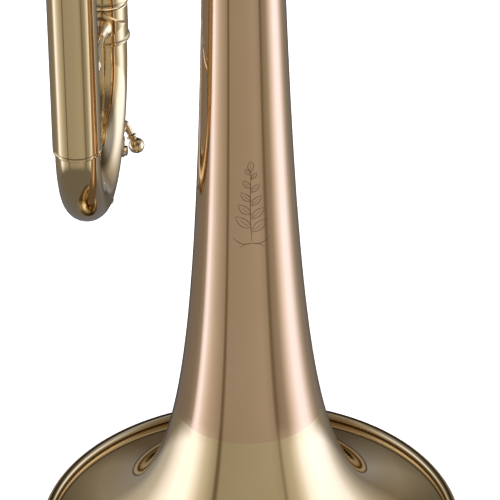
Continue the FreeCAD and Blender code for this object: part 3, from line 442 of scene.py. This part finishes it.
# A spray of leaves engraved on the stem: a plain ornament, with no letters or marks.
SPRAY_LOW = 108.5
SPRAY_HIGH = 134.0
SPRAY_ASIDE = 1.4
LEAF_PAIRS = 5
LEAF_LINE = 0.20
VEIN_LINE = 0.12
# A cut line's edges, its crest and its root, in millimetres off the stem's outside.
CUT_EDGE = 0.012
CUT_CREST = 0.035
CUT_ROOT = -0.06


def on_stem(aside, z, lift):
    """A point on the stem's outside: millimetres round it from the front, height, and lift off it."""
    radius, height = wall_at(z, SHEET + lift)
    turn = aside / radius
    return Vector((radius * math.sin(turn), -radius * math.cos(turn), height)) * MM


def engraved_stroke(bm, line, width):
    """A closed sliver along a line of (aside, z) points, tapered at both ends."""
    rows = []
    count = len(line) - 1
    for step, (aside, z) in enumerate(line):
        before = line[max(0, step - 1)]
        after = line[min(count, step + 1)]
        way = Vector((after[0] - before[0], after[1] - before[1])).normalized()
        half = 0.5 * width * (0.25 + 0.75 * math.sin(math.pi * step / count) ** 0.6)
        across = Vector((-way.y, way.x)) * half
        left = on_stem(aside + across.x, z + across.y, CUT_EDGE)
        right = on_stem(aside - across.x, z - across.y, CUT_EDGE)
        crest = on_stem(aside, z, CUT_CREST)
        root = on_stem(aside, z, CUT_ROOT)
        rows.append([bm.verts.new(place) for place in (left, crest, right, root)])
    join_rings(bm, rows, closed=False)


def curved(start, end, belly, count=14):
    """Points from start to end that swing out to one side by the belly."""
    run = Vector(end) - Vector(start)
    square = Vector((-run.y, run.x)).normalized()
    points = []
    for step in range(count + 1):
        share = step / count
        place = Vector(start) + run * share + square * belly * math.sin(math.pi * share)
        points.append((place.x, place.y))
    return points


def engrave_leaf(bm, root, angle, length):
    """Two bowed edges that meet at the tip, and a vein that stops short of it."""
    tip = (root[0] + length * math.cos(angle), root[1] + length * math.sin(angle))
    engraved_stroke(bm, curved(root, tip, length * 0.24), LEAF_LINE)
    engraved_stroke(bm, curved(root, tip, -length * 0.20), LEAF_LINE)
    vein = (root[0] + 0.72 * length * math.cos(angle), root[1] + 0.72 * length * math.sin(angle))
    engraved_stroke(bm, curved(root, vein, length * 0.02), VEIN_LINE)


def make_engraving():
    bm = bmesh.new()
    middle = SPRAY_ASIDE
    engraved_stroke(bm, curved((middle, SPRAY_LOW), (middle, SPRAY_HIGH - 3.0), 0.35, 30), 0.24)
    for pair in range(LEAF_PAIRS):
        z = SPRAY_LOW + 3.5 + pair * 4.1
        length = 5.6 - 0.75 * pair
        engrave_leaf(bm, (middle, z), math.radians(38 + 3 * pair), length)
        engrave_leaf(bm, (middle, z + 1.3), math.radians(142 - 3 * pair), length)
    engrave_leaf(bm, (middle, SPRAY_HIGH - 3.4), math.radians(90), 3.6)
    for side in (-1, 1):
        foot = (middle, SPRAY_LOW)
        engraved_stroke(bm, curved(foot, (middle + side * 5.2, SPRAY_LOW + 1.6), -side * 0.9), 0.22)
        engraved_stroke(bm, curved(foot, (middle + side * 3.4, SPRAY_LOW - 1.5), side * 0.5), 0.18)
    new_piece("bell_engraving", bm, "instrument", engraved())


FELT_INNER = 2.4
FELT_OUTER = 5.4
FELT_AROUND = 120
FELT_SECTION = 28
FELT_SQUARENESS = 0.45
FELT_HAIRS = 420
HAIR_ROOT = 0.16
HAIR_THICK = 0.014


def add_hair(bm, start, way, length, droop, thick):
    """One short fibre: a bent three-sided sliver with closed ends."""
    side = way.cross(droop).normalized() * thick
    lift = way.cross(side).normalized() * thick
    rows = []
    for share in (0.0, 0.5, 1.0):
        place = start + way * length * share + droop * share * share
        size = 1.0 - 0.7 * share
        rows.append([bm.verts.new(place + off * size) for off in (side, lift, -side - lift)])
    join_rings(bm, rows, closed=False)


def squared(value):
    """Pushes a circle's sine or cosine outward, so that the section gets soft square corners."""
    return math.copysign(abs(value) ** FELT_SQUARENESS, value)


def make_felt(number):
    """A felt washer round the valve stem, with soft lumpy edges and loose fibres."""
    dice = random.Random(40 + number)
    low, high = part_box("button_felt_%d" % number)
    centre = midpoint(low, high)
    thick = (high[1] - low[1]) / MM
    bm = bmesh.new()
    ring_middle = (FELT_INNER + FELT_OUTER) / 2
    half_wide = (FELT_OUTER - FELT_INNER) / 2
    rows = []
    for step in range(FELT_AROUND):
        turn = turn_at(step, FELT_AROUND)
        outward = Vector((math.cos(turn), 0, math.sin(turn)))
        ring = []
        for part in range(FELT_SECTION):
            angle = turn_at(part, FELT_SECTION)
            across = squared(math.cos(angle)) * half_wide
            height = squared(math.sin(angle)) * thick / 2
            place = outward * (ring_middle + across * 0.97) + Vector((0, height * 0.95, 0))
            lump = noise.noise(place * 2.2 + Vector((number * 7.0, 0, 0))) * 0.5 + 0.5
            fuzz = noise.noise(place * 9.0) * 0.5 + 0.5
            shrink = 1.0 - 0.035 * lump - 0.025 * fuzz
            out = ring_middle + across * 0.97 * shrink
            place = outward * out + Vector((0, height * 0.95 * shrink, 0))
            ring.append(bm.verts.new(centre + place * MM))
        rows.append(ring)
    join_rings(bm, rows, closed=True)
    for _ in range(FELT_HAIRS):
        turn = dice.uniform(0, 2 * math.pi)
        height = dice.uniform(-0.42, 0.42) * thick
        outward = Vector((math.cos(turn), 0, math.sin(turn)))
        way = Vector((-math.sin(turn), dice.uniform(-0.8, 0.8), math.cos(turn))).normalized()
        start = centre + (outward * (FELT_OUTER - HAIR_ROOT) + Vector((0, height, 0))) * MM
        length = dice.uniform(0.25, 0.5) * MM * dice.choice((-1, 1))
        droop = outward * dice.uniform(0.02, 0.09) * MM
        add_hair(bm, start, way, length, droop, HAIR_THICK * MM)
    name = "felt_washer_%d" % number
    new_piece(name, bm, "valve_%d" % number, PLAIN["felt"], "button_felt_%d" % number, 60.0)


SPRING_RADIUS = 5.4
SPRING_WIRE = 0.38
SPRING_TURNS = 9
SPRING_STEPS = SPRING_TURNS * 32
SPRING_SIDES = 10
SPRING_EASE = 0.12


def make_spring(number):
    """A piston's spring, with close turns at both ends."""
    node = "valve_spring_%d" % number
    low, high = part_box(node)
    centre = midpoint(low, high)
    reach = (high[1] - low[1]) / MM - 2 * SPRING_WIRE
    bm = bmesh.new()
    rows = []
    for step in range(SPRING_STEPS + 1):
        share = step / SPRING_STEPS
        eased = share - SPRING_EASE * math.sin(2 * math.pi * share) / (2 * math.pi)
        turn = 2 * math.pi * SPRING_TURNS * share
        outward = Vector((math.cos(turn), 0, math.sin(turn)))
        middle = outward * SPRING_RADIUS + Vector((0, (0.5 - eased) * reach, 0))
        ring = []
        for side in range(SPRING_SIDES):
            angle = turn_at(side, SPRING_SIDES)
            off = outward * math.cos(angle) + Vector((0, math.sin(angle), 0))
            ring.append(bm.verts.new(centre + (middle + off * SPRING_WIRE) * MM))
        rows.append(ring)
    join_rings(bm, rows, closed=False)
    name = "piston_spring_%d" % number
    finish = finish_of("spring_steel", name)
    spring = new_piece(name, bm, "instrument", finish, node, 50.0)
    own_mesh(spring)


CORK_RADIUS = 2.85
CORK_AROUND = 72
# The flat of each face ends at this share of the radius, and its edge is rounded off.
CORK_FLAT = 0.93
CORK_EDGE_DROP = 0.22
NIPPLE_RING = 0.6


def make_cork():
    """The water key's cork: a soft-edged disc with pores and a ring pressed in by the nipple."""
    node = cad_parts["water_key_cork"]
    low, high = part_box("water_key_cork")
    centre = midpoint(low, high)
    cap = max(node.data.polygons, key=lambda face: face.area)
    axis = cap.normal.normalized()
    half = max(abs((vert.co - centre).dot(axis)) for vert in node.data.vertices)
    wide = CORK_RADIUS * MM
    first = axis.orthogonal().normalized()
    second = axis.cross(first)
    bm = bmesh.new()
    outline = []
    for step in range(13):
        outline.append((step / 12 * CORK_FLAT, 1.0))
    for step in range(1, 6):
        turn = math.radians(90 * step / 6)
        rounded = CORK_FLAT + 0.07 * math.sin(turn)
        outline.append((rounded, 1.0 - CORK_EDGE_DROP * (1 - math.cos(turn))))
    outline += [(radius, -height) for radius, height in reversed(outline)]
    rows = []
    for radius, height in outline:
        ring = []
        for step in range(CORK_AROUND if radius > 0 else 1):
            turn = turn_at(step, CORK_AROUND)
            way = first * math.cos(turn) + second * math.sin(turn)
            flat = way * (radius * wide) + axis * (height * half)
            grain = noise.noise(flat * 1600.0) * 0.5 + 0.5
            pore = max(0.0, noise.noise(flat * 3300.0 + Vector((5, 5, 5))) - 0.28)
            dent = 0.05 * math.exp(-((radius - NIPPLE_RING) / 0.12) ** 2)
            shrink = 1.0 - 0.03 * grain - 0.22 * pore
            place = way * (radius * wide * shrink) + axis * (height * half * (shrink - dent))
            ring.append(bm.verts.new(centre + place))
        rows.append(ring)
    for low_ring, high_ring in zip(rows, rows[1:]):
        for step in range(CORK_AROUND):
            after = (step + 1) % CORK_AROUND
            corners = [low_ring[step % len(low_ring)], low_ring[after % len(low_ring)]]
            corners += [high_ring[after % len(high_ring)], high_ring[step % len(high_ring)]]
            corners = list(dict.fromkeys(corners))
            if len(corners) > 2:
                bm.faces.new(corners)
    new_piece("cork_pad", bm, "water_key", PLAIN["cork"], "water_key_cork", 60.0)


make_bell_stem()
make_bell_flare()
make_engraving()
for valve in (1, 2, 3):
    make_felt(valve)
    make_spring(valve)
make_cork()


# ---------------------------------------------------------------- floor, light and camera
CAMERA_PLACE = Vector((0.85, -930.3, 704.7)) * MM
CAMERA_DIP = math.radians(33.15)
CAMERA_ROLL = math.radians(-0.72)
CAMERA_LENS = 288.0
STAGE_RADIUS = 14.0
LAMP_PLACE = Vector((0.2, -0.4, 2.6))


def plain_material(name, colour, glow):
    g = Graph(name)
    tone = g.noise(3.0, 2.0)
    darker = rgba(*[value * 0.99 for value in colour[:3]])
    g.link(g.blend(tone, colour, darker), g.shader.inputs["Base Color"])
    g.set(Roughness=1.0, Emission_Strength=glow, Emission_Color=colour)
    return g.material


def make_stage(name, bm, material):
    obj = add_object(name, mesh_from(name, bm))
    obj.data.materials.append(material)
    obj.visible_glossy = False
    return obj


def make_floor():
    bm = bmesh.new()
    bmesh.ops.create_circle(bm, cap_ends=True, segments=96, radius=STAGE_RADIUS)
    bmesh.ops.translate(bm, verts=bm.verts, vec=(0, 0, -0.0002))
    make_stage("floor", bm, plain_material("pale_floor", rgba(0.93, 0.93, 0.93), 0.72))


def make_backdrop():
    bm = bmesh.new()
    bmesh.ops.create_uvsphere(bm, u_segments=48, v_segments=24, radius=STAGE_RADIUS)
    bmesh.ops.reverse_faces(bm, faces=bm.faces)
    dome = make_stage("backdrop", bm, plain_material("pale_backdrop", rgba(1.0, 1.0, 1.0), 1.2))
    dome.visible_diffuse = False
    dome.visible_transmission = False
    dome.visible_shadow = False


# How bright the studio looks all round the compass, in degrees from the camera's side: first
# for directions well below the horizon, then for those nearer to it. The levels were chosen
# after the brightness measured in the photograph's reflections, so they copy its light.
BELOW = [
    (-180, 0.04),
    (-165, 0.06),
    (-150, 0.17),
    (-130, 0.20),
    (-108, 0.24),
    (-97, 0.36),
    (-91, 1.20),
    (-86, 1.50),
    (-78, 1.00),
    (-70, 0.70),
    (-62, 0.54),
    (-52, 0.42),
    (-46, 0.36),
    (-44, 0.16),
    (-41, 0.17),
    (-38, 0.37),
    (0, 0.40),
    (26, 0.44),
    (38, 0.38),
    (42, 0.18),
    (45, 0.18),
    (48, 0.27),
    (60, 0.38),
    (68, 0.70),
    (76, 1.10),
    (87, 1.55),
    (98, 1.45),
    (107, 0.95),
    (115, 0.52),
    (126, 0.28),
    (155, 0.15),
    (180, 0.04),
]
LEVEL = [
    (-180, 0.05),
    (-170, 0.09),
    (-165, 0.23),
    (-150, 0.27),
    (-140, 0.48),
    (-127, 0.62),
    (-112, 1.20),
    (-98, 1.60),
    (-80, 1.55),
    (-71, 1.15),
    (-63, 0.75),
    (-54, 0.52),
    (-46, 0.36),
    (-44, 0.14),
    (-41, 0.15),
    (-38, 0.35),
    (0, 0.39),
    (30, 0.42),
    (40, 0.38),
    (43, 0.22),
    (46, 0.44),
    (57, 0.58),
    (65, 0.90),
    (74, 1.40),
    (90, 1.75),
    (108, 1.60),
    (120, 1.30),
    (130, 0.78),
    (140, 0.42),
    (152, 0.20),
    (163, 0.28),
    (172, 0.07),
]
HALF_TURN = math.pi
DEGREE = math.radians(1.0)


def studio_colour(level):
    """Bright panels are cooler than the room between them, and its dark corners are warmer."""
    cool = max(0.0, min(1.0, (level - 0.4) / 1.0))
    warm = max(0.0, min(1.0, (0.30 - level) / 0.20)) * 0.35
    red = level * (1 - 0.12 * cool + 0.3 * warm)
    return rgba(red, level * (1 - 0.2 * warm), level * (1 + 0.45 * cool - 0.8 * warm))


def studio_ramp(graph, place, levels):
    node = graph.add("ShaderNodeValToRGB")
    stops = node.color_ramp.elements
    stops.remove(stops[0])
    stops[0].position = 0.0
    stops[0].color = studio_colour(levels[0][1])
    for degrees, level in levels[1:]:
        stops.new((degrees + 180) / 360).color = studio_colour(level)
    graph.link(place, node.inputs["Fac"])
    return node.outputs["Color"]


def make_world():
    """Soft panels on both sides of a dim room, wider near the horizon than below it."""
    world = bpy.data.worlds.new("studio")
    bpy.context.scene.world = world
    world.use_nodes = True
    g = Nodes(world.node_tree)
    output = g.add("ShaderNodeOutputWorld")
    glow = g.add("ShaderNodeBackground")
    split = g.add("ShaderNodeSeparateXYZ")
    g.link(g.add("ShaderNodeTexCoord").outputs["Generated"], split.inputs["Vector"])
    near = g.math("MULTIPLY", split.outputs["Y"], -1.0)
    compass = g.math("ARCTAN2", split.outputs["X"], near)
    place = g.spread(compass, -HALF_TURN, HALF_TURN)
    height = g.math("ARCSINE", split.outputs["Z"], 0.0)
    # The change from one to the other comes lower down behind the object.
    behind = g.spread(g.math("ABSOLUTE", compass, 0.0), 60 * DEGREE, 150 * DEGREE, 0.0, -10 * DEGREE)
    from_here = g.math("SUBTRACT", height, behind)
    mixed = g.spread(from_here, -17.5 * DEGREE, -15.0 * DEGREE)
    walls = g.blend(mixed, studio_ramp(g, place, BELOW), studio_ramp(g, place, LEVEL))
    ground = g.spread(height, -35.5 * DEGREE, -41 * DEGREE)
    room = g.blend(ground, walls, rgba(0.165, 0.165, 0.175))
    shade = g.spread(height, 10 * DEGREE, 32 * DEGREE, 1.0, 0.25)
    g.link(room, glow.inputs["Color"])
    g.link(shade, glow.inputs["Strength"])
    g.link(glow.outputs["Background"], output.inputs["Surface"])


def make_lamp():
    lamp = bpy.data.lights.new("ceiling_softbox", "AREA")
    lamp.shape = "DISK"
    lamp.size = 2.4
    lamp.energy = 60.0
    holder = add_object("ceiling_softbox", lamp)
    holder.location = LAMP_PLACE
    holder.rotation_euler = LAMP_PLACE.to_track_quat("Z", "Y").to_euler()
    holder.visible_glossy = False
    holder.visible_camera = False


def make_camera():
    data = bpy.data.cameras.new("camera")
    data.lens = CAMERA_LENS
    data.sensor_width = 36.0
    data.clip_start = 0.05
    data.clip_end = 60.0
    camera = add_object("camera", data)
    forward = Vector((0, math.cos(CAMERA_DIP), -math.sin(CAMERA_DIP)))
    level = Vector((1, 0, 0))
    above = level.cross(forward)
    right = level * math.cos(CAMERA_ROLL) + above * math.sin(CAMERA_ROLL)
    up = right.cross(forward)
    turn = Matrix((right, up, -forward)).transposed()
    camera.matrix_world = Matrix.Translation(CAMERA_PLACE) @ turn.to_4x4()
    bpy.context.scene.camera = camera


make_floor()
make_backdrop()
make_world()
make_lamp()
make_camera()
bpy.context.scene.view_settings.view_transform = "Standard"
